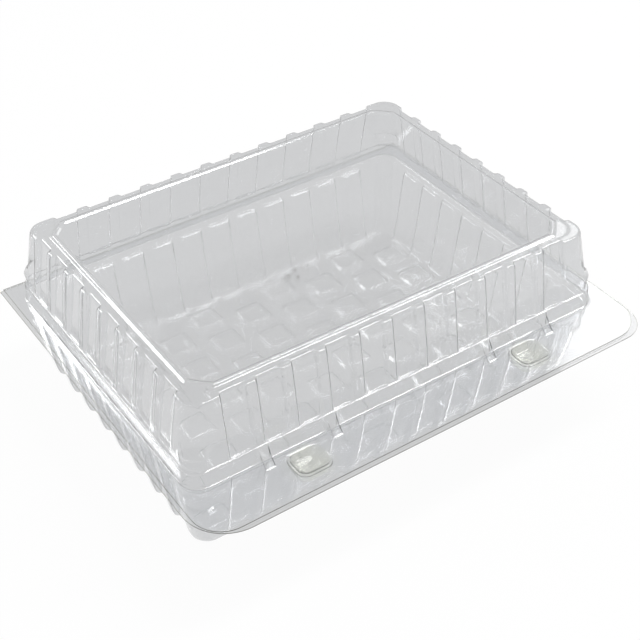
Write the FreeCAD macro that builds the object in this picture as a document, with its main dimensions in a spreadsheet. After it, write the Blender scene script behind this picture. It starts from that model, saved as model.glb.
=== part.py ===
import FreeCAD, Part
import math
import os

import Sketcher
from FreeCAD import Placement, Rotation, Vector

# A clear hinged food pack: a fluted tray and a fluted lid, thermoformed from one thin sheet.
# Sizes are in millimetres. X runs along the hinge, -Y is the opening side, Z is up.

SIZES = {
    # the sheet and the seam between the halves
    "sheet_wall": 0.5,
    "seam_gap": 0.3,
    "seam_height": 51.5,
    "overall_height": 97.6,
    "hinge_gap": 0.2,
    # plan of the body at the seam, and how far the flange reaches past it
    "body_length": 257.2,
    "body_width": 190.4,
    "flange_side": 9.7,
    "flange_front": 32.8,
    "flange_back": 6.1,
    "tray_corner_left": 24.0,
    "tray_corner_right": 17.0,
    "lid_corner_left": 17.0,
    "lid_corner_right": 21.0,
    "lid_inset_front": 2.2,
    "lid_inset_left": 2.0,
    "lid_inset_right": 0.3,
    # plain bands above and below the flange
    "band_corner": 10.0,
    "lid_band_height": 9.1,
    "tray_band_height": 3.6,
    "band_draft": 0.3,
    # flutes
    "flute_pitch_long": 19.65,
    "flute_pitch_short": 19.2,
    "panel_width": 11.0,
    "flute_angle": 50.0,
    "crest_radius": 1.6,
    "root_bevel": 0.5,
    "flute_depth_foot": 1.7,
    "flute_depth_top": 2.5,
    "ledge_step": 0.3,
    "wall_corner": 10.0,
    # lid dome
    "lid_draft_long": 5.4,
    "lid_draft_short": 5.9,
    "shoulder_round": 1.1,
    # raised frame round the clear top panel
    "ridge_rise": 1.0,
    "ridge_length": 230.0,
    "ridge_width": 163.4,
    "ridge_chamfer": 10.4,
    "ridge_band": 4.0,
    "ridge_slope": 0.7,
    # tray tub
    "tray_draft_long": 6.8,
    "tray_draft_short": 7.4,
    "tray_foot_round": 2.4,
    # pads pressed up in the floor
    "pad_pitch": 26.3,
    "pad_shift": 5.0,
    "pad_size": 18.6,
    "pad_height": 1.4,
    "pad_slope": 1.0,
    "pad_peak": 1.4,
    "pad_wall_gap": 1.0,
    # snap cups in the front flange
    "snap_spread": 139.6,
    "snap_reach": 12.4,
    "snap_length": 17.2,
    "snap_width": 14.6,
    "snap_corner": 4.5,
    "snap_clearance": 0.3,
    "lid_snap_depth": 4.4,
    "lid_snap_draft": 3.0,
    "lid_snap_lean": 1.4,
    "tray_snap_depth": 6.5,
    "tray_snap_draft": 1.9,
    "tray_snap_lean": 0.4,
    # buttresses that run from a crest down to the flange
    "gusset_reach": 7.0,
    "gusset_foot_width": 5.6,
    "gusset_ridge_width": 2.4,
    "gusset_top": 1.4,
    # lugs at the lid's corners that keep stacked lids apart
    "lug_height": 10.0,
    "lug_bulge": 2.0,
    "lug_lip": 2.0,
}

doc = FreeCAD.newDocument("clamshell_pack")
sheet = doc.addObject("Spreadsheet::Sheet", "Sizes")
for row, (alias, value) in enumerate(SIZES.items(), start=1):
    sheet.set("A%d" % row, alias.replace("_", " "))
    sheet.set("B%d" % row, str(value))
    sheet.setAlias("B%d" % row, alias)
doc.recompute()


def size(alias):
    """One driving size, read from the sheet."""
    return float(sheet.get(alias))


WALL = size("sheet_wall")
HALF_SEAM = size("seam_gap") / 2
SEAM_Z = size("seam_height")
HALF_LONG = size("body_length") / 2
HALF_SHORT = size("body_width") / 2

# height of each level, from the table up
TRAY_FLANGE_TOP = SEAM_Z - HALF_SEAM
TRAY_FLANGE_UNDER = TRAY_FLANGE_TOP - WALL
TRAY_SHELF_Z = TRAY_FLANGE_TOP - size("tray_band_height")
LID_FLANGE_UNDER = SEAM_Z + HALF_SEAM
LEDGE_Z = LID_FLANGE_UNDER + size("lid_band_height")
TOP_Z = size("overall_height") - size("ridge_rise")
SHOULDER_Z = TOP_Z - size("shoulder_round")

# the body's middle lies behind the middle of the flange
BODY_Y = (size("flange_front") - size("flange_back") + size("hinge_gap")) / 2
OVERRUN = 1.0


def part_feature(name, shape):
    """A document object that holds a finished shape."""
    feature = doc.addObject("Part::Feature", name)
    feature.Shape = shape
    return feature


def fused(name, pieces):
    """One union of several document objects."""
    union = doc.addObject("Part::MultiFuse", name)
    union.Shapes = pieces
    return union


def cut(name, base, tool):
    """One document object less another."""
    difference = doc.addObject("Part::Cut", name)
    difference.Base = base
    difference.Tool = tool
    return difference


# Outlines in plan. Each is a closed run of points, and the same call makes the moulded face
# or, inset by the thickness of the sheet, the face inside it.

CORNER_STEPS = 4
CREST_STEPS = 1


def flute_run(depth):
    """Length along the wall of one slope between a panel and a crest."""
    angle = math.radians(size("flute_angle"))
    return depth / math.tan(angle) + size("crest_radius") * math.tan(angle / 2)


def panel_centres(half, corner, pitch, odd):
    """Middles of the recessed panels along one side, as many as fit between the corners."""
    reach = half - corner - size("panel_width") / 2 - flute_run(size("flute_depth_top"))
    if odd:
        count = int(reach // pitch)
        return [index * pitch for index in range(-count, count + 1)]
    count = int(reach / pitch + 0.5)
    return [(index + 0.5) * pitch for index in range(-count, count)]


def slope_points(depth):
    """One slope from panel to crest, as distances along and out from the panel's edge."""
    angle = math.radians(size("flute_angle"))
    bevel = size("root_bevel")
    crest = size("crest_radius")
    run = flute_run(depth)
    points = [(-bevel, -depth), (bevel * math.cos(angle), bevel * math.sin(angle) - depth)]
    for step in range(CREST_STEPS, -1, -1):
        turned = angle * step / CREST_STEPS
        points.append((run - crest * math.sin(turned), crest * math.cos(turned) - crest))
    return points


def inset(points, distance):
    """The same closed run of points with every edge moved inwards by one distance."""
    moved = []
    for before, here, after in zip(points[-1:] + points[:-1], points, points[1:] + points[:1]):
        first = (here - before).normalize()
        second = (after - here).normalize()
        inward = Vector(-first.y - second.y, first.x + second.x, 0)
        moved.append(here + inward * (distance / (1 + first.dot(second))))
    return moved


def outline(half_x, half_y, z, corner, offset, flutes=None):
    """A rounded rectangle, plain or fluted. flutes is (depth, long centres, short centres)."""
    depth, long_centres, short_centres = flutes or (0, [], [])
    sides = [
        (Vector(1, 0, 0), Vector(0, -1, 0), half_x, half_y, long_centres),
        (Vector(0, 1, 0), Vector(1, 0, 0), half_y, half_x, short_centres),
        (Vector(-1, 0, 0), Vector(0, 1, 0), half_x, half_y, long_centres),
        (Vector(0, -1, 0), Vector(-1, 0, 0), half_y, half_x, short_centres),
    ]
    points = []
    for along, out, half_along, half_out, centres in sides:
        for centre in centres:
            slope = slope_points(depth)
            for turn, run in ((-1, slope[::-1]), (1, slope)):
                for u, v in run:
                    place = centre + turn * (size("panel_width") / 2 + u)
                    points.append(along * place + out * (half_out + v) + Vector(0, 0, z))
        pivot = along * (half_along - corner) + out * (half_out - corner) + Vector(0, 0, z)
        for step in range(CORNER_STEPS + 1):
            turned = math.radians(90) * step / CORNER_STEPS
            points.append(pivot + out * (corner * math.cos(turned)) + along * (corner * math.sin(turned)))
    return inset(points, offset) if offset else points


def flat_face(points):
    """A flat face inside a closed run of points."""
    return Part.Face(Part.makePolygon(points + points[:1]))


def lofted(levels, tip=None):
    """A closed solid with flat walls between runs of points whose edges are parallel."""
    faces = [flat_face(levels[0])]
    for low, high in zip(levels, levels[1:]):
        for index in range(len(low)):
            after = (index + 1) % len(low)
            faces.append(flat_face([low[index], low[after], high[after], high[index]]))
    last = levels[-1]
    if tip:
        faces += [flat_face([here, after, tip]) for here, after in zip(last, last[1:] + last[:1])]
    else:
        faces.append(flat_face(last))
    return Part.Solid(Part.Shell(faces))


# Walls

LID_FOOT_X = HALF_LONG - size("band_draft") - size("ledge_step")
LID_FOOT_Y = HALF_SHORT - size("band_draft") - size("ledge_step")
LID_TOP_X = LID_FOOT_X - size("lid_draft_long")
LID_TOP_Y = LID_FOOT_Y - size("lid_draft_short")
TRAY_FOOT_X = LID_FOOT_X - size("tray_draft_long")
TRAY_FOOT_Y = LID_FOOT_Y - size("tray_draft_short")
LONG_PANELS = panel_centres(LID_TOP_X, size("wall_corner"), size("flute_pitch_long"), True)
SHORT_PANELS = panel_centres(LID_TOP_Y, size("wall_corner"), size("flute_pitch_short"), False)


def lid_dome(offset):
    """The lid's fluted walls and flat top, from the ledge up."""
    corner = size("wall_corner")
    tuck = size("shoulder_round")
    foot = (size("flute_depth_foot"), LONG_PANELS, SHORT_PANELS)
    top = (size("flute_depth_top"), LONG_PANELS, SHORT_PANELS)
    return lofted([
        outline(LID_FOOT_X, LID_FOOT_Y, LEDGE_Z - offset, corner, offset, foot),
        outline(LID_TOP_X, LID_TOP_Y, SHOULDER_Z - offset, corner, offset, top),
        outline(LID_TOP_X - tuck, LID_TOP_Y - tuck, TOP_Z - offset, corner - tuck, offset, top),
    ])


def lid_band(offset, foot_z):
    """The plain band between the lid's flange and its ledge."""
    draft = size("band_draft")
    corner = size("band_corner")
    return lofted([
        outline(HALF_LONG, HALF_SHORT, foot_z, corner, offset),
        outline(HALF_LONG - draft, HALF_SHORT - draft, LEDGE_Z - offset, corner, offset),
    ])


def tray_tub(offset):
    """The tray's fluted walls and floor, up to the shelf below its band."""
    corner = size("wall_corner")
    tuck = size("tray_foot_round")
    flutes = (size("flute_depth_foot"), LONG_PANELS, SHORT_PANELS)
    return lofted([
        outline(TRAY_FOOT_X - tuck, TRAY_FOOT_Y - tuck, offset, corner - tuck, offset, flutes),
        outline(TRAY_FOOT_X, TRAY_FOOT_Y, tuck, corner, offset, flutes),
        outline(LID_FOOT_X, LID_FOOT_Y, TRAY_SHELF_Z + offset, corner, offset, flutes),
    ])


def tray_band(offset, top_z):
    """The plain band between the tray's flutes and its flange."""
    draft = size("band_draft")
    corner = size("band_corner")
    return lofted([
        outline(HALF_LONG - draft, HALF_SHORT - draft, TRAY_SHELF_Z + offset, corner, offset),
        outline(HALF_LONG, HALF_SHORT, top_z, corner, offset),
    ])


# Raised frame on the lid

def chamfered_outline(half_x, half_y, chamfer, z):
    """A rectangle with its corners cut at 45 degrees."""
    points = []
    for sign_x, sign_y in ((1, -1), (1, 1), (-1, 1), (-1, -1)):
        ends = [
            Vector(sign_x * (half_x - chamfer), sign_y * half_y, z),
            Vector(sign_x * half_x, sign_y * (half_y - chamfer), z),
        ]
        points += ends if sign_x * sign_y < 0 else ends[::-1]
    return points


def ridge_frame(offset):
    """The narrow frame that stands up round the flat top panel."""
    chamfer = size("ridge_chamfer")
    rise = size("ridge_rise")
    sunk = OVERRUN / 2
    low_z = TOP_Z - offset - sunk
    high_z = TOP_Z - offset + rise
    slope = size("ridge_slope")
    spread = slope * sunk / rise
    outer = chamfered_outline(size("ridge_length") / 2, size("ridge_width") / 2, chamfer, 0)
    rings = []
    for shift, z in ((-spread, low_z), (slope, high_z)):
        ring = inset(outer, offset + shift)
        hole = inset(outer, size("ridge_band") - offset - shift)
        rings.append([[point + Vector(0, 0, z) for point in run] for run in (ring, hole)])
    (low_ring, low_hole), (high_ring, high_hole) = rings
    return lofted([low_ring, high_ring]).cut(lofted([low_hole, high_hole])).Solids[0]


# Snap cups

def cup_pair(name, grow, top_z, depth, draft, lean):
    """The left and right cups, which narrow downwards and lean back from the front flange."""
    half_x = size("snap_length") / 2 + grow
    half_y = size("snap_width") / 2 + grow
    corner = size("snap_corner") + min(grow, 0) / 2
    foot = outline(half_x - draft, half_y - draft, top_z - depth, corner - draft / 2, 0)
    cup = lofted([
        [point + Vector(0, lean, 0) for point in foot],
        outline(half_x, half_y, top_z, corner, 0),
    ])
    y = -HALF_SHORT - size("snap_reach")
    spots = [Vector(sign * size("snap_spread") / 2, y, 0) for sign in (-1, 1)]
    return [part_feature(name, cup.translated(spot)) for spot in spots]


# Flanges

def flange_body(name, reach, radii, under):
    """A flat rim with round front corners and square corners at the hinge."""
    body = doc.addObject("PartDesign::Body", name)
    plane = [item for item in body.Origin.OriginFeatures if item.Role == "XY_Plane"][0]
    sketch = body.newObject("Sketcher::SketchObject", name + "_outline")
    sketch.AttachmentSupport = (plane, [""])
    sketch.MapMode = "FlatFace"
    left, right, near, far, radius = -140.0, 140.0, -120.0, 100.0, 20.0
    up = Vector(0, 0, 1)
    right_pivot = Vector(right - radius, near + radius, 0)
    left_pivot = Vector(left + radius, near + radius, 0)
    quarter = math.radians(90)
    sketch.addGeometry([
        Part.LineSegment(Vector(left + radius, near, 0), Vector(right - radius, near, 0)),
        Part.LineSegment(Vector(right, near + radius, 0), Vector(right, far, 0)),
        Part.LineSegment(Vector(right, far, 0), Vector(left, far, 0)),
        Part.LineSegment(Vector(left, far, 0), Vector(left, near + radius, 0)),
        Part.ArcOfCircle(Part.Circle(right_pivot, up, radius), 3 * quarter, 4 * quarter),
        Part.ArcOfCircle(Part.Circle(left_pivot, up, radius), 2 * quarter, 3 * quarter),
    ], False)
    first, last, origin = 1, 2, -1
    rules = [
        ("Tangent", 0, last, 4, first),
        ("Tangent", 4, last, 1, first),
        ("Coincident", 1, last, 2, first),
        ("Coincident", 2, last, 3, first),
        ("Tangent", 3, last, 5, first),
        ("Tangent", 5, last, 0, first),
        ("Horizontal", 0),
        ("Horizontal", 2),
        ("Vertical", 1),
        ("Vertical", 3),
    ]
    for rule in rules:
        sketch.addConstraint(Sketcher.Constraint(*rule))
    far_edge = "Sizes.body_width / 2 + Sizes.flange_back - Sizes.hinge_gap"
    bound = [
        (("DistanceX", origin, first, 1, last, right), reach["right"]),
        (("DistanceX", 3, first, origin, first, -left), reach["left"]),
        (("DistanceY", origin, first, 1, last, far), far_edge),
        (("DistanceY", 0, first, origin, first, -near), reach["front"]),
        (("Radius", 4, radius), radii[1]),
        (("Radius", 5, radius), radii[0]),
    ]
    for constraint, expression in bound:
        index = sketch.addConstraint(Sketcher.Constraint(*constraint))
        sketch.setExpression("Constraints[%d]" % index, expression)
    pad = body.newObject("PartDesign::Pad", name + "_sheet")
    pad.Profile = sketch
    pad.setExpression("Length", "Sizes.sheet_wall")
    body.setExpression("Placement.Base.z", under)
    return body


# Buttresses and corner lugs

def gussets(name, inside):
    """Four buttresses on the front, one each side of the snap cups."""
    shrink = "Sizes.sheet_wall" if inside else "0"
    half_foot = "Sizes.gusset_foot_width / 2 - %s" % shrink
    half_ridge = "Sizes.gusset_ridge_width / 2 - %s" % shrink
    low_z = "Sizes.seam_height + Sizes.seam_gap / 2"
    wedges = []
    for crest in (-4.5, -2.5, 2.5, 4.5):
        wedge = doc.addObject("Part::Wedge", name)
        wedge.setExpression("Xmin", "-1 * (%s)" % half_foot)
        wedge.setExpression("Xmax", half_foot)
        wedge.setExpression("X2min", "-1 * (%s)" % half_ridge)
        wedge.setExpression("X2max", half_ridge)
        wedge.Ymin = 0
        wedge.setExpression("Ymax", "Sizes.lid_band_height + Sizes.gusset_top - %s" % shrink)
        wedge.Zmin = -4
        wedge.Z2min = -4
        wedge.setExpression("Zmax", "Sizes.gusset_reach - %s" % shrink)
        wedge.setExpression("Z2max", "-1 * Sizes.ledge_step - %s" % shrink)
        wedge.Placement = Placement(Vector(0, 0, 0), Rotation(Vector(1, 0, 0), 90))
        wedge.setExpression("Placement.Base.x", "%s * Sizes.flute_pitch_long" % crest)
        wedge.setExpression("Placement.Base.y", "-1 * Sizes.body_width / 2")
        wedge.setExpression("Placement.Base.z", low_z)
        wedges.append(wedge)
    return wedges


def corner_lugs(name, inside):
    """A bulge round each lid corner above the ledge, widest at its lip."""
    shrink = WALL if inside else 0.0
    radius = size("wall_corner")
    lip = size("lug_height") - size("lug_lip")
    widest = radius + size("lug_bulge")
    levels = [
        (0, radius * 0.9),
        (lip, widest - shrink),
        (size("lug_height"), radius * 0.8),
    ]
    lug = lofted([
        [Vector(reach * math.cos(turn), reach * math.sin(turn), LEDGE_Z - shrink / 2 + z)
         for turn in (math.radians(18) * step for step in range(20))]
        for z, reach in levels])
    x = LID_FOOT_X - radius - 1
    y = LID_FOOT_Y - radius - 1
    spots = [Vector(sign_x * x, sign_y * y, 0) for sign_x in (-1, 1) for sign_y in (-1, 1)]
    return [part_feature(name, lug.translated(spot)) for spot in spots]


# Floor pads

def pad_solid(x, y, half_x, half_y, peaked, offset):
    """One pad pressed up from the floor, flat or with a low four-sided peak."""
    slope = size("pad_slope")
    rise = size("pad_height")
    grown = offset * 0.7
    spread = slope * OVERRUN / rise

    def square(shift, z):
        u, v = half_x - shift, half_y - shift
        corners = ((-u, -v), (u, -v), (u, v), (-u, v))
        return [Vector(x + along, y + across, z) for along, across in corners]

    levels = [square(-grown - spread, offset - OVERRUN), square(slope - grown, offset + rise)]
    tip = Vector(x, y, offset + rise + size("pad_peak"))
    return lofted(levels, tip if peaked else None)


def floor_pads(offset):
    """Staggered rows of pads, peaked ones between plain ones, cut short at the walls."""
    pitch = size("pad_pitch")
    half = size("pad_size") / 2
    tuck = size("tray_foot_round") + size("flute_depth_foot") + size("pad_wall_gap")
    room_x = TRAY_FOOT_X - tuck
    room_y = TRAY_FOOT_Y - tuck
    columns = int((room_x - half) // pitch)
    rows = int(room_y // pitch) + 1
    pads = []
    for column in range(-columns, columns + 1):
        peaked = column % 2 == 1
        for row in range(-rows, rows + 1):
            y = size("pad_shift") + (row + (0.5 if peaked else 0)) * pitch
            low = max(y - half, -room_y)
            high = min(y + half, room_y)
            if high - low > 0.3 * size("pad_size"):
                whole = high - low > 0.99 * size("pad_size")
                half_y = (high - low) / 2
                pads.append(pad_solid(column * pitch, (low + high) / 2, half, half_y, peaked and whole, offset))
    return pads


# The two halves

def make_tray():
    """The lower half: flange, band, fluted tub, embossed floor and snap cups."""
    side = "Sizes.body_length / 2 + Sizes.flange_side"
    front = "Sizes.body_width / 2 + Sizes.flange_front"
    flange = flange_body(
        "tray_flange", {"left": side, "right": side, "front": front},
        ("Sizes.tray_corner_left", "Sizes.tray_corner_right"),
        "Sizes.seam_height - Sizes.seam_gap / 2 - Sizes.sheet_wall")
    grow = size("snap_clearance")
    depth = size("tray_snap_depth")
    draft = size("tray_snap_draft")
    lean = size("tray_snap_lean")
    outside = fused("tray_outside", [
        flange,
        part_feature("tray_tub_outside", tray_tub(0)),
        part_feature("tray_band_outside", tray_band(0, TRAY_FLANGE_TOP)),
    ] + cup_pair("tray_cup_outside", grow + WALL, TRAY_FLANGE_TOP, depth + WALL, draft, lean))
    inside = fused("tray_inside", [
        part_feature("tray_tub_inside", tray_tub(WALL)),
        part_feature("tray_band_inside", tray_band(WALL, TRAY_FLANGE_TOP + OVERRUN)),
    ] + cup_pair("tray_cup_inside", grow, TRAY_FLANGE_TOP, depth, draft, lean))
    dents = part_feature("tray_floor_dents", Part.makeCompound(floor_pads(0)))
    bumps = part_feature("tray_floor_bumps", Part.makeCompound(floor_pads(WALL)))
    dented = cut("tray_dented", outside, dents)
    hollow = cut("tray_hollow", inside, bumps)
    return cut("tray", dented, hollow)


def make_lid():
    """The upper half: flange, band, fluted dome, raised frame, lugs, buttresses and snap cups."""
    side = "Sizes.body_length / 2 + Sizes.flange_side"
    front = "Sizes.body_width / 2 + Sizes.flange_front - Sizes.lid_inset_front"
    flange = flange_body(
        "lid_flange",
        {"left": side + " - Sizes.lid_inset_left", "right": side + " - Sizes.lid_inset_right", "front": front},
        ("Sizes.lid_corner_left", "Sizes.lid_corner_right"),
        "Sizes.seam_height + Sizes.seam_gap / 2")
    flange_top = LID_FLANGE_UNDER + WALL
    depth = size("lid_snap_depth")
    draft = size("lid_snap_draft")
    lean = size("lid_snap_lean")
    outside = fused("lid_outside", [
        flange,
        part_feature("lid_band_outside", lid_band(0, LID_FLANGE_UNDER)),
        part_feature("lid_dome_outside", lid_dome(0)),
        part_feature("lid_ridge_outside", ridge_frame(0)),
    ] + corner_lugs("lid_lug_outside", False) + gussets("lid_gusset_outside", False)
      + cup_pair("lid_cup_outside", 0, flange_top, depth + WALL, draft, lean))
    inside = fused("lid_inside", [
        part_feature("lid_band_inside", lid_band(WALL, LID_FLANGE_UNDER - OVERRUN)),
        part_feature("lid_dome_inside", lid_dome(WALL)),
        part_feature("lid_ridge_inside", ridge_frame(WALL)),
    ] + corner_lugs("lid_lug_inside", True) + gussets("lid_gusset_inside", True)
      + cup_pair("lid_cup_inside", -WALL, flange_top, depth, draft, lean))
    return cut("lid", outside, inside)


halves = [make_tray(), make_lid()]
for half in halves:
    half.Placement = Placement(Vector(0, BODY_Y, 0), Rotation())
doc.recompute()

for item in doc.Objects:
    if "Invalid" in item.State or "Error" in item.State:
        raise RuntimeError("%s: %s" % (item.Label, item.State))
for half in halves:
    if half.Shape.isNull() or not half.Shape.isValid():
        raise RuntimeError("%s has no valid shape" % half.Label)

os.makedirs("parts", exist_ok=True)
for half in halves:
    half.Shape.exportStep("parts/%s.step" % half.Label)
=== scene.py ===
import math

import bmesh
import bpy
import numpy as np
from mathutils import Matrix, Vector
from mathutils.geometry import delaunay_2d_cdt


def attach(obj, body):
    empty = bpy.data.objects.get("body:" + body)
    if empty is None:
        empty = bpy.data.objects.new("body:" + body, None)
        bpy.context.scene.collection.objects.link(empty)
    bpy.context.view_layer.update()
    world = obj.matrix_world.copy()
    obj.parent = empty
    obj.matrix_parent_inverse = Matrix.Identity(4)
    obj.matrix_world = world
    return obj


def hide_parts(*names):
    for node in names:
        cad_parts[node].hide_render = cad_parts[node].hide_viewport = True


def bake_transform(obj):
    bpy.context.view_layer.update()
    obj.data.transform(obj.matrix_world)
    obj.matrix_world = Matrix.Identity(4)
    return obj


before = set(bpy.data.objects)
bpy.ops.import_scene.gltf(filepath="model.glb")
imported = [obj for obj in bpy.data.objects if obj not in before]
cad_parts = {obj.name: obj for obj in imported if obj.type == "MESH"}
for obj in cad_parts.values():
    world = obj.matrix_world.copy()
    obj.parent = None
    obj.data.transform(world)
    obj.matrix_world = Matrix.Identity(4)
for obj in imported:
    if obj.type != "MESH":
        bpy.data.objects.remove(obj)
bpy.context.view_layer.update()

# The camera. It stands at the front left, as high as the photograph's, and looks down on the
# middle of the pack. Lengths are in millimetres, times MM, in every section but the studio's.
MM = 0.001
BODY_Y = 13.45                     # the fluted body lies this far behind the flange's middle


def put_in_scene(name, data):
    """A new object that holds data, linked to the scene."""
    thing = bpy.data.objects.new(name, data)
    bpy.context.scene.collection.objects.link(thing)
    return thing


def place_camera(azimuth, elevation, distance, target, lens, shift, roll):
    """A camera that looks at target, turned a little about its own line of sight."""
    turn, rise = math.radians(azimuth), math.radians(elevation)
    level = math.cos(rise)
    back = Vector((math.sin(turn) * level, -math.cos(turn) * level, math.sin(rise)))
    upright = (-back).to_track_quat("-Z", "Y").to_matrix()
    data = bpy.data.cameras.new("camera")
    data.sensor_width = 36
    data.lens = lens
    data.shift_x, data.shift_y = shift
    data.clip_start, data.clip_end = 0.01, 50
    camera = put_in_scene("camera", data)
    rolled = upright @ Matrix.Rotation(math.radians(roll), 3, "Z")
    camera.matrix_world = Matrix.Translation(target + back * distance) @ rolled.to_4x4()
    bpy.context.scene.camera = camera


place_camera(
    azimuth=-33.479, elevation=38.849, distance=726.2 * MM,
    target=Vector((0, BODY_Y, 34.27)) * MM,
    lens=72.28, shift=(0.0229, 0.0002), roll=-0.854)

# The sheet. Both halves are formed from one clear plastic sheet, drawn thin in the mould. It
# has a faint grey tint that adds up where sheets overlap, a yellow-green one in the snap cups,
# a painted dark shade along the cut edge, fine scuffs and a slight haze.
SHEET = 0.36                       # thickness once formed
SHEET_IOR = 1.57
SCUFF_STRENGTH, SCUFF_DEPTH = 0.25, 0.02
SCUFF_STRETCH = (1.0, 0.14, 0.5)   # scuffs are longer from front to back than across
HAZE_CLEAR, HAZE_CLOUDY = 0.35, 0.7    # where the haze's noise starts and stops to count


def scuff_group():
    """Fine scuffs and a cloudy haze, as a height and a roughness that change over the sheet."""
    group = bpy.data.node_groups.new("sheet_scuffs", "ShaderNodeTree")
    values = {"Haze scale": 18.0, "Scuff scale": 420.0, "Least roughness": 0.02, "Most roughness": 0.09}
    for name, value in values.items():
        socket = group.interface.new_socket(name=name, in_out="INPUT", socket_type="NodeSocketFloat")
        socket.default_value = value
    for name in ("Roughness", "Height"):
        group.interface.new_socket(name=name, in_out="OUTPUT", socket_type="NodeSocketFloat")
    nodes, links = group.nodes, group.links
    given = nodes.new("NodeGroupInput")
    out = nodes.new("NodeGroupOutput")
    place = nodes.new("ShaderNodeTexCoord")
    haze = nodes.new("ShaderNodeTexNoise")
    haze.inputs["Detail"].default_value = 4.0
    links.new(place.outputs["Object"], haze.inputs["Vector"])
    links.new(given.outputs["Haze scale"], haze.inputs["Scale"])
    stretch = nodes.new("ShaderNodeMapping")
    stretch.inputs["Scale"].default_value = SCUFF_STRETCH
    links.new(place.outputs["Object"], stretch.inputs["Vector"])
    scuff = nodes.new("ShaderNodeTexNoise")
    scuff.inputs["Detail"].default_value = 3.0
    links.new(stretch.outputs["Vector"], scuff.inputs["Vector"])
    links.new(given.outputs["Scuff scale"], scuff.inputs["Scale"])
    spread = nodes.new("ShaderNodeMapRange")
    spread.inputs["From Min"].default_value = HAZE_CLEAR
    spread.inputs["From Max"].default_value = HAZE_CLOUDY
    links.new(haze.outputs["Fac"], spread.inputs["Value"])
    links.new(given.outputs["Least roughness"], spread.inputs["To Min"])
    links.new(given.outputs["Most roughness"], spread.inputs["To Max"])
    links.new(spread.outputs["Result"], out.inputs["Roughness"])
    links.new(scuff.outputs["Fac"], out.inputs["Height"])
    return group


def new_material(name):
    """A material, with its nodes and its links at hand."""
    material = bpy.data.materials.new(name)
    material.use_nodes = True
    return material, material.node_tree.nodes, material.node_tree.links


def clear_sheet(tint, cup_tint, painted_edge_shade):
    """Clear plastic with the scuffs in its roughness and in a very shallow bump, its cups tinted and
    its cut edge painted a dark shade.
    """
    material, nodes, links = new_material("clear_sheet")
    plastic = nodes["Principled BSDF"]
    tint_and_shade_share = nodes.new("ShaderNodeAttribute")
    tint_and_shade_share.attribute_name = "cup_tint_and_edge_shade"
    colour = nodes.new("ShaderNodeValToRGB")
    links.new(tint_and_shade_share.outputs["Fac"], colour.inputs["Fac"])
    colour.color_ramp.elements[0].color = (*tint, 1)
    # Painted shade: the cut edge gets a dark grey-green colour that stands in for the dark line of a
    # sheet seen edge-on.
    colour.color_ramp.elements[1].color = (*painted_edge_shade, 1)
    colour.color_ramp.elements.new(0.5).color = (*cup_tint, 1)
    links.new(colour.outputs["Color"], plastic.inputs["Base Color"])
    plastic.inputs["Transmission Weight"].default_value = 1.0
    plastic.inputs["IOR"].default_value = SHEET_IOR
    scuffs = nodes.new("ShaderNodeGroup")
    scuffs.node_tree = scuff_group()
    links.new(scuffs.outputs["Roughness"], plastic.inputs["Roughness"])
    dent = nodes.new("ShaderNodeBump")
    dent.inputs["Strength"].default_value = SCUFF_STRENGTH
    dent.inputs["Distance"].default_value = SCUFF_DEPTH * MM
    links.new(scuffs.outputs["Height"], dent.inputs["Height"])
    links.new(dent.outputs["Normal"], plastic.inputs["Normal"])
    return material


# The edge colour is painted shade, a dark line along the cut edge.
CLEAR = clear_sheet(
    tint=(0.952, 0.957, 0.964), cup_tint=(0.951, 0.957, 0.925), painted_edge_shade=(0.28, 0.29, 0.22))

# The lid. The upper half of the clear sheet, formed over a mould with its flange, a plain band
# and ledge, eleven by eight recessed panels, and a flat shoulder with a raised frame. It meets
# the tray at the fold at the back, and its two cups snap into the tray's.
PITCH_LONG, PITCH_SHORT = 19.65, 19.2
PANELS_LONG, PANELS_SHORT = 11, 8
PANEL_WIDTH, SLOPE_WIDTH = 11.8, 1.6
NEAR_A_PANEL = (0, 3.0, 4.7, 5.3, 5.7, 6.1, 6.6, 7.1, 7.6, 8.1, 8.7)    # off a panel's middle
TAIL_STEPS, CORNER_STEPS = 3, 12
CHAMFER_BOW = 0.03                 # a chamfer is a little rounded, by this share of its size
LUG_SPREAD = 1.7                   # how soon a corner lug reaches its full size round the corner
LEAST_TAIL = 0.6                   # plain wall that is always left before a corner
X, Y = 0, 1                        # a course's columns, in which Z is the third
ALONG, SHORT_SIDE, SUNK, AIM_X, AIM_Y, LUG = range(3, 9)
SIDES = (((1, 0), (0, -1)), ((0, 1), (1, 0)), ((-1, 0), (0, 1)), ((0, -1), (-1, 0)))


def flute_stations(count, pitch):
    """Distances along one side, close together where the wall bends in and out."""
    around = sorted({-step for step in NEAR_A_PANEL} | set(NEAR_A_PANEL))
    centres = [(index - (count - 1) / 2) * pitch for index in range(count)]
    stations = [centre + step for centre in centres for step in around]
    stations += [(left + right) / 2 for left, right in zip(centres, centres[1:])]
    return sorted(stations)


STATIONS = [flute_stations(PANELS_LONG, PITCH_LONG), flute_stations(PANELS_SHORT, PITCH_SHORT)] * 2


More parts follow.
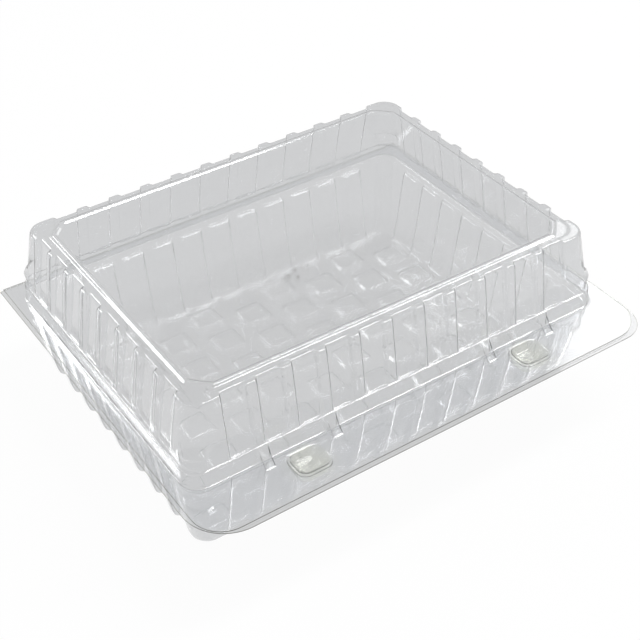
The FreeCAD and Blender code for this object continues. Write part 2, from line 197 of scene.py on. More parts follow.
def course(half_x, half_y, corner, z, depth=0.0, chamfered=False):
    """One closed run of points round the body, each with what the flutes need to know."""
    rows = []
    for index, (along, out) in enumerate(SIDES):
        half_along, half_out = (half_x, half_y) if index % 2 == 0 else (half_y, half_x)
        stations = STATIONS[index]
        run = half_along - corner
        last = stations[-1]
        fit = min(1.0, (run - LEAST_TAIL) / last)
        tails = [last * fit + (run - last * fit) * step / TAIL_STEPS
                 for step in range(1, TAIL_STEPS + 1)]
        shift = 0.0 if index % 2 == 0 else PITCH_SHORT / 2
        places = [(-tail, 0) for tail in reversed(tails)]
        places += [(station * fit, depth) for station in stations]
        places += [(tail, 0) for tail in tails]
        for place, sunk in places:
            x = along[0] * place + out[0] * half_out
            y = along[1] * place + out[1] * half_out
            rows.append((x, y, z, place / fit + shift, index % 2, sunk, out[0], out[1], 0.0))
        for step in range(1, CORNER_STEPS):
            share = step / CORNER_STEPS
            turned = math.radians(90) * share
            bow = CHAMFER_BOW * math.sin(2 * turned)
            reach_out, reach_along = math.cos(turned), math.sin(turned)
            if chamfered:
                reach_out, reach_along = 1 - share + bow, share + bow
            aim_x = out[0] * math.cos(turned) + along[0] * math.sin(turned)
            aim_y = out[1] * math.cos(turned) + along[1] * math.sin(turned)
            far_along = run + corner * reach_along
            far_out = half_out - corner + corner * reach_out
            x = along[0] * far_along + out[0] * far_out
            y = along[1] * far_along + out[1] * far_out
            lug = min(1.0, LUG_SPREAD * math.sin(2 * turned))
            rows.append((x, y, z, 0, 0, 0, aim_x, aim_y, lug))
    return np.array(rows)


def wall_mesh(name, courses, outside_first):
    """The courses joined by four-sided faces, with the flutes' values kept as attributes."""
    count = len(courses[0])
    rows = np.concatenate(courses)
    faces = []
    for level in range(len(courses) - 1):
        for index in range(count):
            after = (index + 1) % count
            face = (level * count + index, level * count + after,
                    (level + 1) * count + after, (level + 1) * count + index)
            faces.append(face if outside_first else face[::-1])
    mesh = bpy.data.meshes.new(name)
    mesh.from_pydata([tuple(row[:3]) for row in rows * MM], [], faces)
    along, short_side, depth = rows[:, ALONG] * MM, rows[:, SHORT_SIDE], rows[:, SUNK] * MM
    for label, values in (("along", along), ("short_side", short_side), ("depth", depth)):
        attribute = mesh.attributes.new(label, "FLOAT", "POINT")
        attribute.data.foreach_set("value", values.astype(np.float32))
    outward = np.column_stack([rows[:, AIM_X], rows[:, AIM_Y], np.zeros(len(rows))])
    attribute = mesh.attributes.new("outward", "FLOAT_VECTOR", "POINT")
    attribute.data.foreach_set("vector", outward.astype(np.float32).ravel())
    return mesh


def new_tree(name, inputs, output):
    """An empty geometry tree with its named inputs, and one output of geometry."""
    tree = bpy.data.node_groups.new(name, "GeometryNodeTree")
    for label, kind in inputs.items():
        tree.interface.new_socket(name=label, in_out="INPUT", socket_type="NodeSocket" + kind)
    tree.interface.new_socket(name=output, in_out="OUTPUT", socket_type="NodeSocketGeometry")
    return tree, tree.nodes, tree.links


def end_tree(nodes, links, shape, material, end):
    """Realizes a tree's shape, gives it its material and leads it to the tree's end."""
    real = nodes.new("GeometryNodeRealizeInstances")
    links.new(shape, real.inputs["Geometry"])
    finish = nodes.new("GeometryNodeSetMaterial")
    links.new(real.outputs["Geometry"], finish.inputs["Geometry"])
    links.new(material, finish.inputs["Material"])
    links.new(finish.outputs["Geometry"], end)


def flute_tree():
    """Presses a recessed panel into the wall at every pitch, and leaves crests between them."""
    tree, nodes, links = new_tree("wall_flutes", {
        "Wall": "Geometry", "Pitch on the long sides": "Float", "Pitch on the short sides": "Float",
        "Panel width": "Float", "Slope width": "Float", "Sheet": "Material"}, "Wall")
    given = nodes.new("NodeGroupInput")
    out = nodes.new("NodeGroupOutput")

    def kept(label, kind):
        node = nodes.new("GeometryNodeInputNamedAttribute")
        node.data_type = kind
        node.inputs["Name"].default_value = label
        return node.outputs["Attribute"]

    def maths(operation, first, second):
        node = nodes.new("ShaderNodeMath")
        node.operation = operation
        for socket, value in zip(node.inputs, (first, second)):
            if isinstance(value, float):
                socket.default_value = value
            else:
                links.new(value, socket)
        return node.outputs["Value"]

    pick = nodes.new("ShaderNodeMix")
    links.new(kept("short_side", "FLOAT"), pick.inputs["Factor"])
    links.new(given.outputs["Pitch on the long sides"], pick.inputs["A"])
    links.new(given.outputs["Pitch on the short sides"], pick.inputs["B"])
    half_pitch = maths("MULTIPLY", pick.outputs["Result"], 0.5)
    from_middle = maths("PINGPONG", kept("along", "FLOAT"), half_pitch)
    half_panel = maths("MULTIPLY", given.outputs["Panel width"], 0.5)
    pressed = nodes.new("ShaderNodeMapRange")
    pressed.interpolation_type = "SMOOTHSTEP"
    links.new(from_middle, pressed.inputs["Value"])
    links.new(half_panel, pressed.inputs["From Min"])
    links.new(maths("ADD", half_panel, given.outputs["Slope width"]), pressed.inputs["From Max"])
    pressed.inputs["To Min"].default_value = -1.0
    pressed.inputs["To Max"].default_value = 0.0
    sunk = maths("MULTIPLY", pressed.outputs["Result"], kept("depth", "FLOAT"))
    push = nodes.new("ShaderNodeVectorMath")
    push.operation = "SCALE"
    links.new(kept("outward", "FLOAT_VECTOR"), push.inputs["Vector"])
    links.new(sunk, push.inputs["Scale"])
    move = nodes.new("GeometryNodeSetPosition")
    links.new(given.outputs["Wall"], move.inputs["Geometry"])
    links.new(push.outputs["Vector"], move.inputs["Offset"])
    end_tree(nodes, links, move.outputs["Geometry"], given.outputs["Sheet"], out.inputs["Wall"])
    return tree


def give_inputs(modifier, values):
    """Sets a node modifier's inputs by name, through each socket's identifier."""
    for item in modifier.node_group.interface.items_tree:
        if item.item_type == "SOCKET" and item.in_out == "INPUT" and item.name in values:
            modifier[item.identifier] = values[item.name]


def apply_modifiers(thing):
    """Gives an object the mesh that its modifiers make, and takes the modifiers off."""
    bpy.context.view_layer.update()
    graph = bpy.context.evaluated_depsgraph_get()
    mesh = bpy.data.meshes.new_from_object(thing.evaluated_get(graph))
    thing.modifiers.clear()
    thing.data = mesh


def fluted(name, courses, outside_first):
    """One half's wall as an object, with its panels pressed in."""
    wall = put_in_scene(name, wall_mesh(name, courses, outside_first))
    press = wall.modifiers.new("flutes", "NODES")
    press.node_group = FLUTES
    give_inputs(press, {
        "Pitch on the long sides": PITCH_LONG * MM, "Pitch on the short sides": PITCH_SHORT * MM,
        "Panel width": PANEL_WIDTH * MM, "Slope width": SLOPE_WIDTH * MM, "Sheet": CLEAR})
    apply_modifiers(wall)
    return wall


def rounded_loop(centre, half_x, half_y, corner, z, steps, spacing=0.0):
    """A closed run of points round a rounded rectangle, with more along its sides if spaced."""
    points = []
    turns = ((1, -1, -90), (1, 1, 0), (-1, 1, 90), (-1, -1, 180))
    for sign_x, sign_y, start in turns:
        radius = corner[(sign_x, sign_y)] if isinstance(corner, dict) else corner
        arcs = steps if radius else 0
        for step in range(arcs + 1):
            turned = math.radians(start + 90 * step / max(1, arcs))
            points.append((centre[0] + sign_x * (half_x - radius) + radius * math.cos(turned),
                           centre[1] + sign_y * (half_y - radius) + radius * math.sin(turned), z))
    if spacing:
        spaced = []
        for here, after in zip(points, points[1:] + points[:1]):
            pieces = max(1, round(math.dist(here, after) / spacing))
            for step in range(pieces):
                spaced.append(tuple(a + (b - a) * step / pieces for a, b in zip(here, after)))
        points = spaced
    return points


def inside(loop, x, y):
    """Whether a point lies within a closed run of points, seen from above."""
    loop = np.asarray(loop)
    x0, y0 = loop[:, 0], loop[:, 1]
    x1, y1 = np.roll(x0, -1), np.roll(y0, -1)
    crosses = (y0 > y) != (y1 > y)
    rise = np.where(y1 == y0, 1e-12, y1 - y0)
    return bool(np.sum(crosses & (x < (x1 - x0) * (y - y0) / rise + x0)) % 2)


SAME_POINT = 1e-5                  # points of a web nearer than this are one


def flat_web(edge, holes, inner_loops, extra, face_up):
    """A sheet of triangles inside edge, round the holes and through the inner loops' points."""
    points, sides, heights = [], [], []
    for loop in [edge] + holes + inner_loops:
        start = len(points)
        points += [(p[0], p[1]) for p in loop]
        heights += [p[2] for p in loop]
        sides += [(start + i, start + (i + 1) % len(loop)) for i in range(len(loop))]
    points += [(p[0], p[1]) for p in extra]
    heights += [p[2] for p in extra]
    found = delaunay_2d_cdt([Vector(p) for p in points], sides, [], 0, SAME_POINT)
    spots = [(p[0], p[1], heights[came[0]] if came else edge[0][2])
             for p, came in zip(found[0], found[3])]
    faces = []
    for face in found[2]:
        x = sum(spots[i][0] for i in face) / len(face)
        y = sum(spots[i][1] for i in face) / len(face)
        if inside(edge, x, y) and not any(inside(hole, x, y) for hole in holes):
            area = sum(spots[a][0] * spots[b][1] - spots[b][0] * spots[a][1]
                       for a, b in zip(face, face[1:] + face[:1]))
            faces.append(face if (area > 0) == face_up else face[::-1])
    return spots, faces


def stacked(loops, face_up):
    """Loops of equal count joined in turn, closed with a fan to the last one's middle."""
    count = len(loops[0])
    points = [p for loop in loops for p in loop]
    faces = []
    for level in range(len(loops) - 1):
        for i in range(count):
            j = (i + 1) % count
            low, high = level * count, (level + 1) * count
            faces.append([low + i, low + j, high + j, high + i])
    last = (len(loops) - 1) * count
    points.append(tuple(np.mean(loops[-1], axis=0)))
    faces += [[last + i, last + (i + 1) % count, len(points) - 1] for i in range(count)]
    return points, faces if face_up else [face[::-1] for face in faces]


LONG_WAVE, CROSS_WAVE, SHORT_WAVE = 0.12, 0.04, 0.015    # their heights, at most


def wave(x, y, z):
    """How far the thin sheet stands off a true plane: waves of about 90 to 260 long."""
    return (LONG_WAVE * np.sin(x / 41 + 0.6) * np.sin(y / 37 + 1.1)
            + CROSS_WAVE * np.sin(x / 23 - y / 29)
            + SHORT_WAVE * np.sin(y / 14.5 + x / 23 + z / 19))


SNAPS = ((-69.8, -107.7), (69.8, -107.7))    # the middles of the snap cups
CUP_TINT_REACH, CUP_TINT_FADE = 11.5, 3.0    # where a cup's tint ends, and over how far it fades
ON_THE_EDGE = 0.05                 # points this near to the cut edge are on it
WELDED = 0.004                     # points this near to each other are joined
CREASE_ANGLE = math.radians(48)


def tint_and_edge_shade_shares(mesh, cut_edge):
    """How far each point moves from the clear tint: one on the cut edge, for its painted dark shade,
    and a half in the snap cups, for their yellow-green tint.
    """
    edge = np.asarray(cut_edge)[:, :2]
    shares = []
    for vert in mesh.vertices:
        x, y = vert.co.x / MM, vert.co.y / MM - BODY_Y
        cup = min(math.hypot(x - snap[0], y - snap[1]) for snap in SNAPS)
        rim = np.hypot(edge[:, 0] - x, edge[:, 1] - y).min()
        in_cup = max(0.0, min(1.0, (CUP_TINT_REACH - cup) / CUP_TINT_FADE))
        shares.append(1.0 if rim < ON_THE_EDGE else 0.5 * in_cup)
    return shares


def join_webs(thing, webs):
    """Joins a wall and its flat webs into one skin, waves it and moves it to its place."""
    form = bmesh.new()
    form.from_mesh(thing.data)
    for points, faces in webs:
        verts = [form.verts.new(Vector(p) * MM) for p in points]
        for face in faces:
            form.faces.new([verts[i] for i in face])
    bmesh.ops.remove_doubles(form, verts=form.verts, dist=WELDED * MM)
    for vert in form.verts:
        x, y, z = vert.co / MM
        vert.co += Vector((0, 0, wave(x, y, z))) * MM
        vert.co.y += BODY_Y * MM
    for face in form.faces:
        face.smooth = True
    mesh = bpy.data.meshes.new(thing.name)
    form.to_mesh(mesh)
    form.free()
    return mesh


def mark_creases(mesh):
    """Keeps an edge sharp where the sheet turns by more than the crease angle."""
    form = bmesh.new()
    form.from_mesh(mesh)
    for edge in form.edges:
        edge.smooth = edge.calc_face_angle(0) < CREASE_ANGLE
    form.to_mesh(mesh)
    form.free()


def one_sheet(thing, cut_edge, webs, body, node):
    """Makes one half from its wall and its webs, with its tint and painted edge shade, its thickness
    and its body.
    """
    skin = join_webs(thing, webs)
    skin.materials.append(CLEAR)
    tint = skin.attributes.new("cup_tint_and_edge_shade", "FLOAT", "POINT")
    tint.data.foreach_set("value", tint_and_edge_shade_shares(skin, cut_edge))
    thing.data = skin
    thick = thing.modifiers.new("thickness", "SOLIDIFY")
    thick.thickness = SHEET * MM
    thick.offset = -1
    thick.use_even_offset = False
    thick.use_quality_normals = True
    apply_modifiers(thing)
    mark_creases(thing.data)
    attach(thing, body)
    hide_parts(node)


FLUTES = flute_tree()
LID_FLANGE_Z = 52.15
SHOULDER_Z = 96.6
LID_COURSES = (                    # half length, length less width, corner, height, flute depth
    (131.0, 33.4, 12.4, 52.15, 0), (129.9, 33.4, 11.3, 52.15, 0), (129.15, 33.4, 10.6, 52.3, 0),
    (128.72, 33.4, 10.1, 52.75, 0), (128.6, 33.4, 10, 53.5, 0), (128.5, 33.4, 10, 56.5, 0),
    (128.35, 33.4, 10, 59.6, 0), (128.28, 33.4, 10, 60.2, 0), (128.14, 33.4, 10, 60.48, 0),
    (127.84, 33.4, 10.2, 60.7, 0), (127.5, 33.4, 10.3, 60.78, 0), (127.42, 33.4, 10.5, 60.82, 1.2),
    (127.36, 33.4, 10.7, 61.1, 1.62), (127.2, 33.4, 11, 61.8, 1.7), (127.0, 33.43, 11, 64.0, 1.75),
    (126.75, 33.46, 10.9, 66.6, 1.8), (126.5, 33.5, 10.9, 68.4, 1.85), (126.4, 33.5, 10.8, 69.4, 1.9),
    (126.2, 33.5, 10.8, 70.8, 1.95), (125.2, 33.6, 10.6, 78.0, 2.1), (123.9, 33.8, 10.3, 87.0, 2.3),
    (122.75, 33.9, 10, 94.6, 2.5), (122.6, 33.9, 10, 95.4, 2.5), (122.25, 33.9, 9.8, 96.1, 2.5),
    (121.6, 33.9, 9.4, 96.5, 2.5), (120.9, 33.9, 9, 96.6, 2.4), (117.4, 33.6, 8, 96.6, 0))
RIDGE_LESS = 33.3                  # the raised frame's length less its width
RIDGE_COURSES = (                  # half length, chamfer, height
    (115.6, 10.7, 96.6), (115.25, 10.5, 96.66), (114.85, 10.3, 96.85), (114.05, 9.9, 97.38),
    (113.75, 9.7, 97.52), (113.4, 9.5, 97.57), (112.7, 9.1, 97.57), (112.35, 8.9, 97.52),
    (112.05, 8.7, 97.38), (111.25, 8.3, 96.85), (110.85, 8.1, 96.66), (110.5, 7.9, 96.6),
    (109.5, 7.4, 96.6))
GUSSET_X = (-88.4, -49.1, 49.1, 88.4)
GUSSET_REACH, GUSSET_TOP = 6.8, 60.3
GUSSET_HALF, GUSSET_SIDE = 3.7, 0.9    # half its width, and how much of that its side takes up
FACES_FRONT = -0.99                # a point whose outward y is below this is on the front wall
LUG_BULGE = {61.8: 0.1, 64.0: 0.7, 66.6: 1.5, 68.4: 2.0, 69.4: 1.6}    # by height over the table


def lid_course(half_x, less, corner, z, depth):
    """A course of the lid, drawn out over the buttresses and at the corner lugs."""
    rows = course(half_x, half_x - less, corner, z, depth)
    reach = GUSSET_REACH * max(0.0, (GUSSET_TOP - z) / (GUSSET_TOP - LID_FLANGE_Z))
    if reach:
        front = rows[:, AIM_Y] < FACES_FRONT
        for x in GUSSET_X:
            share = np.clip((GUSSET_HALF - np.abs(rows[:, X] - x)) / GUSSET_SIDE, 0, 1)
            rows[:, Y] -= np.where(front, reach * share, 0)
    bulge = rows[:, LUG] * LUG_BULGE.get(z, 0.0)
    rows[:, X] += rows[:, AIM_X] * bulge
    rows[:, Y] += rows[:, AIM_Y] * bulge
    return rows


lid_courses = [lid_course(*level) for level in LID_COURSES]
lid_courses += [course(half, half - RIDGE_LESS, chamfer, z, chamfered=True)
                for half, chamfer, z in RIDGE_COURSES]
lid = fluted("lid_shell", lid_courses, outside_first=True)
CUP_ARC_STEPS = 5
FLANGE_GRID, FLANGE_MARGIN = 8.0, 2.5    # how far its points lie apart, and off its edges
FLANGE_X, FLANGE_FRONT, FLANGE_BACK = 136, -124, 100


def cup_loops(centre, levels):
    """The loops of one snap cup: each level's half sizes, corner, height and backward shift."""
    return [rounded_loop((centre[0], centre[1] + shift), half_x, half_y, corner, z, CUP_ARC_STEPS)
            for half_x, half_y, corner, z, shift in levels]


def flange_points(edge, holes, z):
    """Points over a flange, so that its long waves show, kept off the edge and the holes."""
    points = []
    for x in np.arange(-FLANGE_X, FLANGE_X + 1, FLANGE_GRID):
        for y in np.arange(FLANGE_FRONT, FLANGE_BACK + 1, FLANGE_GRID):
            if inside(edge, x, y) and not any(inside(hole, x, y) for hole in holes):
                near = min(np.hypot(np.asarray(loop)[:, 0] - x, np.asarray(loop)[:, 1] - y).min()
                           for loop in [edge] + holes)
                if near > FLANGE_MARGIN:
                    points.append((x, y, z))
    return points


EDGE_SHADE_WIDTH = 0.45                  # how far in the painted dark shade along the cut edge reaches
EDGE_ARC_STEPS, EDGE_SPACING = 14, 5.0


def cut_edges(middle, half_x, half_y, left_corner, right_corner, z):
    """A flange's cut edge, and the line inside it where the edge's painted dark shade ends."""
    edges = []
    for less in (0, EDGE_SHADE_WIDTH):
        left, right = left_corner - less, right_corner - less
        corners = {(1, -1): right, (1, 1): 0, (-1, 1): 0, (-1, -1): left}
        edges.append(rounded_loop(middle, half_x - less, half_y - less, corners, z,
                                  EDGE_ARC_STEPS, EDGE_SPACING))
    return edges


def flange_web(edges, foot, snaps, face_up):
    """The flat flange between its cut edge, the foot of the band and the snap cups' rims."""
    holes = [foot] + [loops[0] for loops in snaps]
    extra = flange_points(edges[0], holes, foot[0][2])
    return flat_web(edges[0], holes, [edges[1]], extra, face_up)


def loop_of(rows):
    """A course as a plain run of points."""
    return [tuple(row[:3]) for row in rows]


LID_CUP = (                        # half sizes, corner, height, backward shift
    (9.9, 8.5, 5.6, 52.15, 0), (9.3, 7.9, 5.1, 52.15, 0), (8.8, 7.45, 4.7, 51.95, 0),
    (8.5, 7.15, 4.5, 51.4, 0.1), (7.0, 6.1, 3.9, 49.9, 0.8), (5.75, 5.25, 3.2, 48.5, 1.4),
    (5.3, 4.9, 2.9, 47.95, 1.5), (4.6, 4.2, 2.4, 47.75, 1.5), (2.4, 2.1, 1.2, 47.72, 1.5))
lid_snaps = [cup_loops(centre, LID_CUP) for centre in SNAPS]
lid_edges = cut_edges(
    middle=(0.85, -12.35), half_x=137.15, half_y=113.45, left_corner=17.0, right_corner=21.0,
    z=LID_FLANGE_Z)
PANEL_REACH_X, PANEL_STEP_X = 104, 8.0
PANEL_REACH_Y, PANEL_STEP_Y = 70, 7.0
PANEL_CORNER = 172                 # x and y together; points past it would crowd the chamfers
panel_points = [(x, y, SHOULDER_Z)
                for x in np.arange(-PANEL_REACH_X, PANEL_REACH_X + 1, PANEL_STEP_X)
                for y in np.arange(-PANEL_REACH_Y, PANEL_REACH_Y + 1, PANEL_STEP_Y)
                if abs(x) + abs(y) < PANEL_CORNER]
lid_webs = [flange_web(lid_edges, loop_of(lid_courses[0]), lid_snaps, face_up=True),
            flat_web(loop_of(lid_courses[-1]), [], [], panel_points, face_up=True)]
lid_webs += [stacked(loops, face_up=True) for loops in lid_snaps]
one_sheet(lid, lid_edges[0], lid_webs, "lid", "lid")

# The tray. The lower half of the same sheet, formed with its flange, a plain band and the same
# panels, down to a rounded foot and a floor that rows of pressed-up pads, plain and peaked,
# keep stiff. It stands on the table and carries the lid.
TRAY_FLANGE_Z = 50.85
TRAY_COURSES = (                   # half length, length less width, corner, height, flute depth
    (131.0, 33.4, 12.4, 50.85, 0), (129.9, 33.4, 11.3, 50.85, 0), (129.15, 33.4, 10.6, 50.7, 0),
    (128.72, 33.4, 10.1, 50.25, 0), (128.6, 33.4, 10, 49.6, 0), (128.45, 33.4, 10, 48.4, 0),
    (128.2, 33.4, 10, 47.9, 0), (127.8, 33.4, 10.2, 47.6, 0.2), (127.5, 33.4, 10.6, 47.2, 1.4),
    (127.35, 33.4, 11, 46.4, 1.9), (126.3, 33.6, 11, 37.0, 2.0), (125.0, 34.0, 10.8, 26.0, 2.0),
    (123.3, 34.4, 10.6, 14.0, 2.0), (121.9, 34.8, 10.4, 6.0, 2.0), (121.3, 35.0, 10, 3.2, 2.0),
    (120.8, 35.0, 9.6, 1.7, 2.0), (120.0, 35.0, 8.9, 0.7, 2.0), (119.0, 35.0, 8, 0.15, 1.9),
    (118.0, 35.0, 7.4, 0.0, 1.6), (115.6, 35.0, 6, 0.0, 0), (114.7, 35.0, 4.0, 0.0, 0))
TRAY_CUP = (                       # half sizes, corner, height, backward shift
    (11.2, 9.8, 6.1, 50.85, 0), (10.6, 9.2, 5.6, 50.85, 0), (10.1, 8.75, 5.3, 50.6, 0),
    (9.9, 8.5, 5.2, 50.0, 0), (9.1, 7.9, 4.6, 47.0, 0.2), (8.5, 7.4, 4.2, 45.4, 0.4),
    (8.0, 6.9, 3.8, 44.6, 0.4), (7.2, 6.2, 3.2, 44.35, 0.4), (3.6, 3.0, 1.6, 44.32, 0.4))
PAD_PITCH, PAD_SHIFT, PAD_HALF = 26.3, 5.0, 9.3
PAD_COLUMNS, PAD_ROWS = range(-4, 5), range(-5, 5)
PAD_FOOT = ((0, 2.6, 0.0), (0.3, 2.4, 0.14), (1.1, 2.0, 1.2), (1.6, 1.7, 1.5))    # in, corner, height
PEAKED_TOP = ((2.0, 1.6, 1.6), (5.2, 0.9, 2.5), (8.3, 0.3, 3.2))
DISHED_TOP = ((2.4, 1.9, 1.56), (3.6, 1.8, 1.5), (4.6, 1.7, 1.0), (5.4, 1.4, 0.85))
PAD_ARC_STEPS = 3
LEAST_HALF = 0.8                   # a pad cut short by the wall doesn't shrink below this
SHORTEST_PAD, SHORTEST_PEAKED = 5.5, 18    # a shorter pad is left out, or has no peak
FLOOR_REACH = 78.9                 # how far the pads go to the front and back


def pad_loops(x, y, half_y, peaked):
    """One pad from its foot to its top, square with round corners, dished or peaked."""
    loops = []
    for shrink, corner, z in PAD_FOOT + (PEAKED_TOP if peaked else DISHED_TOP):
        half = half_y - min(shrink, half_y - LEAST_HALF)
        loops.append(rounded_loop((x, y), PAD_HALF - shrink, half, min(corner, half), z,
                                  PAD_ARC_STEPS))
    return loops


def floor_loops():
    """Every pad on the floor: plain and peaked columns, half a pitch out of step."""
    loops = []
    for column in PAD_COLUMNS:
        peaked = column % 2 == 1
        for row in PAD_ROWS:
            y = PAD_SHIFT + (row + (0.5 if peaked else 0)) * PAD_PITCH
            low, high = max(y - PAD_HALF, -FLOOR_REACH), min(y + PAD_HALF, FLOOR_REACH)
            if high - low > SHORTEST_PAD:
                has_peak = peaked and high - low > SHORTEST_PEAKED
                loops += pad_loops(column * PAD_PITCH, (low + high) / 2, (high - low) / 2, has_peak)
    return loops


tray_courses = [course(half, half - less, corner, z, depth)
                for half, less, corner, z, depth in TRAY_COURSES]
tray = fluted("tray_shell", tray_courses, outside_first=False)
tray_snaps = [cup_loops(centre, TRAY_CUP) for centre in SNAPS]
tray_edges = cut_edges(
    middle=(0, -BODY_Y), half_x=138.3, half_y=114.55, left_corner=24.0, right_corner=17.0,
    z=TRAY_FLANGE_Z)
tray_webs = [flange_web(tray_edges, loop_of(tray_courses[0]), tray_snaps, face_up=False),
             flat_web(loop_of(tray_courses[-1]), [], floor_loops(), [], face_up=False)]
tray_webs += [stacked(loops, face_up=False) for loops in tray_snaps]
one_sheet(tray, tray_edges[0], tray_webs, "tray", "tray")

# The fold. The two halves are one sheet, bent back on itself along the rear edge of the flange.
FOLD_Y, FOLD_Z = 114.45, 51.5      # the middle of the bend
FOLD_LEFT, FOLD_LENGTH = -136.2, 274.2
FOLD_OUTSIDE, FOLD_INSIDE = 0.62, 0.36    # the bend's two radii
FOLD_STEPS, FOLD_PIECES = 10, 60


def fold_strip():
    """The bent strip as a closed mesh, made of half rings at even steps along its length."""
    points, faces = [], []
    for piece in range(FOLD_PIECES + 1):
        x = FOLD_LEFT + FOLD_LENGTH * piece / FOLD_PIECES
        z = FOLD_Z + wave(x, FOLD_Y - BODY_Y, FOLD_Z)
        for radius in (FOLD_OUTSIDE, FOLD_INSIDE):
            for step in range(FOLD_STEPS + 1):
                turned = math.radians(-90 + 180 * step / FOLD_STEPS)
                points.append((x, FOLD_Y + radius * math.cos(turned),
                               z + radius * math.sin(turned)))
    count = 2 * (FOLD_STEPS + 1)
    section = list(range(FOLD_STEPS + 1)) + list(range(count - 1, FOLD_STEPS, -1))
    for piece in range(FOLD_PIECES):
        for here, after in zip(section, section[1:] + section[:1]):
            faces.append((piece * count + here, (piece + 1) * count + here,
                          (piece + 1) * count + after, piece * count + after))
    faces.append(section)
    faces.append([FOLD_PIECES * count + i for i in reversed(section)])
    mesh = bpy.data.meshes.new("hinge_fold")
    mesh.from_pydata([tuple(v * MM for v in p) for p in points], [], faces)
    mesh.materials.append(CLEAR)
    turned_out = bmesh.new()
    turned_out.from_mesh(mesh)
    bmesh.ops.recalc_face_normals(turned_out, faces=turned_out.faces)
    turned_out.to_mesh(mesh)
    turned_out.free()
    return mesh


fold = put_in_scene("hinge_fold", fold_strip())
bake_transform(fold)

# The specks. A few crumbs of dirt lie loose on the floor of the tray, at the foot of its back
# wall. Each is a small flattened ball, turned and sized at random.
SPECKS = ((37, 77.5), (38.5, 76.5), (45, 79.5), (42.5, 72), (51, 79), (54.5, 79), (41.5, 78))
SPECK_HEIGHT = 1.9                 # over the table, on the floor's rounded foot
CRUMB_SIZE, CRUMB_FLATNESS, CRUMB_WIDTH = 0.75, 0.6, 0.7
SMALLEST_CRUMB, LARGEST_CRUMB = 0.6, 1.5    # as shares of the crumb size
CRUMB_SEED = 0
FULL_TURN = 6.28
DIRT_GRAIN = 900.0


def speck_tree():
    """Puts one flattened crumb on every point of the piece."""
    tree, nodes, links = new_tree("crumbs", {
        "Places": "Geometry", "Crumb size": "Float", "Crumb flatness": "Float",
        "Dirt": "Material"}, "Crumbs")
    given = nodes.new("NodeGroupInput")
    out = nodes.new("NodeGroupOutput")
    ball = nodes.new("GeometryNodeMeshIcoSphere")
    ball.inputs["Subdivisions"].default_value = 2
    links.new(given.outputs["Crumb size"], ball.inputs["Radius"])
    flat = nodes.new("ShaderNodeCombineXYZ")
    flat.inputs["X"].default_value = 1.0
    flat.inputs["Y"].default_value = CRUMB_WIDTH
    links.new(given.outputs["Crumb flatness"], flat.inputs["Z"])
    press = nodes.new("GeometryNodeTransform")
    links.new(ball.outputs["Mesh"], press.inputs["Geometry"])
    links.new(flat.outputs["Vector"], press.inputs["Scale"])
    sizes = nodes.new("FunctionNodeRandomValue")
    sizes.data_type = "FLOAT"
    sizes.inputs["Min"].default_value = SMALLEST_CRUMB
    sizes.inputs["Max"].default_value = LARGEST_CRUMB
    turns = nodes.new("FunctionNodeRandomValue")
    turns.data_type = "FLOAT_VECTOR"
    turns.inputs["Max"].default_value = (0.0, 0.0, FULL_TURN)
    for random in (sizes, turns):
        random.inputs["Seed"].default_value = CRUMB_SEED
    put = nodes.new("GeometryNodeInstanceOnPoints")
    links.new(given.outputs["Places"], put.inputs["Points"])
    links.new(press.outputs["Geometry"], put.inputs["Instance"])
    links.new(sizes.outputs["Value"], put.inputs["Scale"])
    links.new(turns.outputs["Value"], put.inputs["Rotation"])
    end_tree(nodes, links, put.outputs["Instances"], given.outputs["Dirt"], out.inputs["Crumbs"])
    return tree


def dirt_look():
    """Dull dark dirt, mottled by a fine noise."""
    material, nodes, links = new_material("dirt")
    place = nodes.new("ShaderNodeTexCoord")
    grain = nodes.new("ShaderNodeTexNoise")
    grain.inputs["Scale"].default_value = DIRT_GRAIN
    links.new(place.outputs["Object"], grain.inputs["Vector"])
    shade = nodes.new("ShaderNodeValToRGB")
    shade.color_ramp.elements[0].color = (0.05, 0.045, 0.035, 1)
    shade.color_ramp.elements[1].color = (0.16, 0.14, 0.11, 1)
    links.new(grain.outputs["Fac"], shade.inputs["Fac"])
    links.new(shade.outputs["Color"], nodes["Principled BSDF"].inputs["Base Color"])
    nodes["Principled BSDF"].inputs["Roughness"].default_value = 0.9
    return material


speck_mesh = bpy.data.meshes.new("specks")
speck_mesh.from_pydata([(x * MM, (y + BODY_Y) * MM, SPECK_HEIGHT * MM) for x, y in SPECKS], [], [])
specks = put_in_scene("specks", speck_mesh)
crumbs = specks.modifiers.new("crumbs", "NODES")
crumbs.node_group = speck_tree()
give_inputs(crumbs, {
    "Crumb size": CRUMB_SIZE * MM, "Crumb flatness": CRUMB_FLATNESS, "Dirt": dirt_look()})
apply_modifiers(specks)
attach(specks, "tray")

# The studio, in metres. A plain white floor and surround, a long lamp high to the right, one at
# the back left and a small one at the back right. The formed edges catch the lamps, and the
# sheet's own tint gives the greys, together with painted shade: floor and surround show a pale
# grey where they are seen through the plastic.
BACKGROUND = 1.0
ROOM_SHADE_BEHIND, FLOOR_SHADE_BEHIND = 0.635, 0.69    # painted shade: how white these two are where the plastic is in front
FLOOR_HALF, FLOOR_Z = 3.0, -0.0004


def seen_share(nodes, links, camera, mirrored, through):
    """How much plain white a ray sees: from the camera, off the plastic, or through it."""
    path = nodes.new("ShaderNodeLightPath")
    off_plastic = nodes.new("ShaderNodeMath")
    off_plastic.operation = "MULTIPLY"
    links.new(path.outputs["Is Glossy Ray"], off_plastic.inputs[0])
    off_plastic.inputs[1].default_value = mirrored
    either = nodes.new("ShaderNodeMix")
    links.new(path.outputs["Is Transmission Ray"], either.inputs["Factor"])
    links.new(off_plastic.outputs["Value"], either.inputs["A"])
    either.inputs["B"].default_value = through
    any_way = nodes.new("ShaderNodeMix")
    links.new(path.outputs["Is Camera Ray"], any_way.inputs["Factor"])
    links.new(either.outputs["Result"], any_way.inputs["A"])
    any_way.inputs["B"].default_value = camera
    return any_way.outputs["Result"]


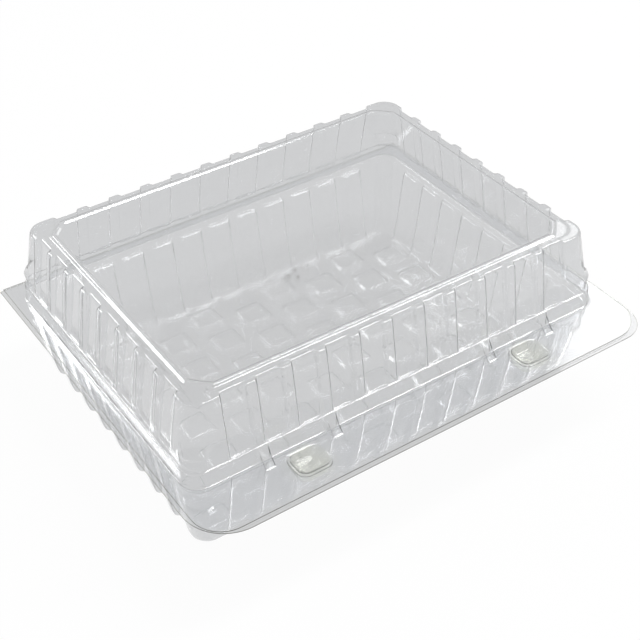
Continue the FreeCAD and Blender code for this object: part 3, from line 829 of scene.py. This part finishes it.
def white_with_painted_shade(nodes, links, directly, through):
    """How white the surround is: pure white by itself, a pale grey of painted shade behind the plastic.
    """
    path = nodes.new("ShaderNodeLightPath")
    white = nodes.new("ShaderNodeMix")
    links.new(path.outputs["Is Transmission Ray"], white.inputs["Factor"])
    white.inputs["A"].default_value = directly
    white.inputs["B"].default_value = through
    return white.outputs["Result"]


def surround(light, mirrored):
    """The world: white where it is seen, a pale grey of painted shade through the plastic, a softer
    white where it lights the pack.
    """
    world = bpy.data.worlds.new("surround")
    bpy.context.scene.world = world
    world.use_nodes = True
    nodes, links = world.node_tree.nodes, world.node_tree.links
    strength = nodes.new("ShaderNodeMapRange")
    seen = seen_share(nodes, links, camera=1, mirrored=mirrored, through=1)
    links.new(seen, strength.inputs["Value"])
    strength.inputs["To Min"].default_value = light
    # Painted shade: seen through the plastic, the surround is a pale grey instead of white.
    links.new(white_with_painted_shade(nodes, links, BACKGROUND, ROOM_SHADE_BEHIND), strength.inputs["To Max"])
    links.new(strength.outputs["Result"], nodes["Background"].inputs["Strength"])
    nodes["Background"].inputs["Color"].default_value = (1, 1, 1, 1)


def floor_sheet(camera, mirrored, through):
    """A pale floor, mostly plain white where it is seen and a painted pale-grey shade through the
    plastic, that keeps the pack's soft shadow.
    """
    material, nodes, links = new_material("floor_paper")
    paper = nodes["Principled BSDF"]
    paper.inputs["Base Color"].default_value = (0.9, 0.9, 0.9, 1)
    paper.inputs["Roughness"].default_value = 1.0
    paper.inputs["Specular IOR Level"].default_value = 0.0
    white = nodes.new("ShaderNodeEmission")
    # Painted shade: seen through the plastic, the floor glows only a pale grey, standing in for the
    # shadowed table under the pack.
    links.new(white_with_painted_shade(nodes, links, BACKGROUND, FLOOR_SHADE_BEHIND), white.inputs["Strength"])
    blend = nodes.new("ShaderNodeMixShader")
    links.new(seen_share(nodes, links, camera, mirrored, through), blend.inputs["Fac"])
    links.new(paper.outputs["BSDF"], blend.inputs[1])
    links.new(white.outputs["Emission"], blend.inputs[2])
    links.new(blend.outputs["Shader"], nodes["Material Output"].inputs["Surface"])
    mesh = bpy.data.meshes.new("floor")
    corners = ((-1, -1), (1, -1), (1, 1), (-1, 1))
    mesh.from_pydata([(x * FLOOR_HALF, y * FLOOR_HALF, FLOOR_Z) for x, y in corners], [],
                     [(0, 1, 2, 3)])
    mesh.materials.append(material)
    put_in_scene("floor", mesh)


def softbox(name, place, aim, width, depth, watts):
    """A rectangular lamp that the camera doesn't see, but every bend in the plastic does."""
    data = bpy.data.lights.new(name, "AREA")
    data.shape = "RECTANGLE"
    data.size, data.size_y, data.energy = width, depth, watts
    lamp = put_in_scene(name, data)
    lamp.location = place
    lamp.rotation_mode = "QUATERNION"
    lamp.rotation_quaternion = (Vector(aim) - Vector(place)).to_track_quat("-Z", "Y")
    lamp.visible_camera = False


surround(light=0.25, mirrored=0.35)
floor_sheet(camera=0.97, mirrored=1.0, through=0.93)
softbox("strip_right", place=(0.56, -0.12, 1.16), aim=(0, 0, 0.05), width=0.26, depth=1.0, watts=15)
softbox("strip_back", place=(-0.45, 0.86, 0.85), aim=(0, 0, 0.05), width=0.8, depth=0.2, watts=3.6)
softbox("right", place=(1.24, 0.70, 1.07), aim=(0.13, -0.09, 0.05), width=0.34, depth=0.34, watts=0.7)

scene = bpy.context.scene
scene.view_settings.view_transform = "Standard"
scene.cycles.max_bounces = 24
scene.cycles.transmission_bounces = 24
scene.cycles.glossy_bounces = 6
scene.cycles.diffuse_bounces = 3
scene.cycles.transparent_max_bounces = 16
scene.cycles.caustics_reflective = False
scene.cycles.caustics_refractive = False
scene.cycles.use_denoising = True
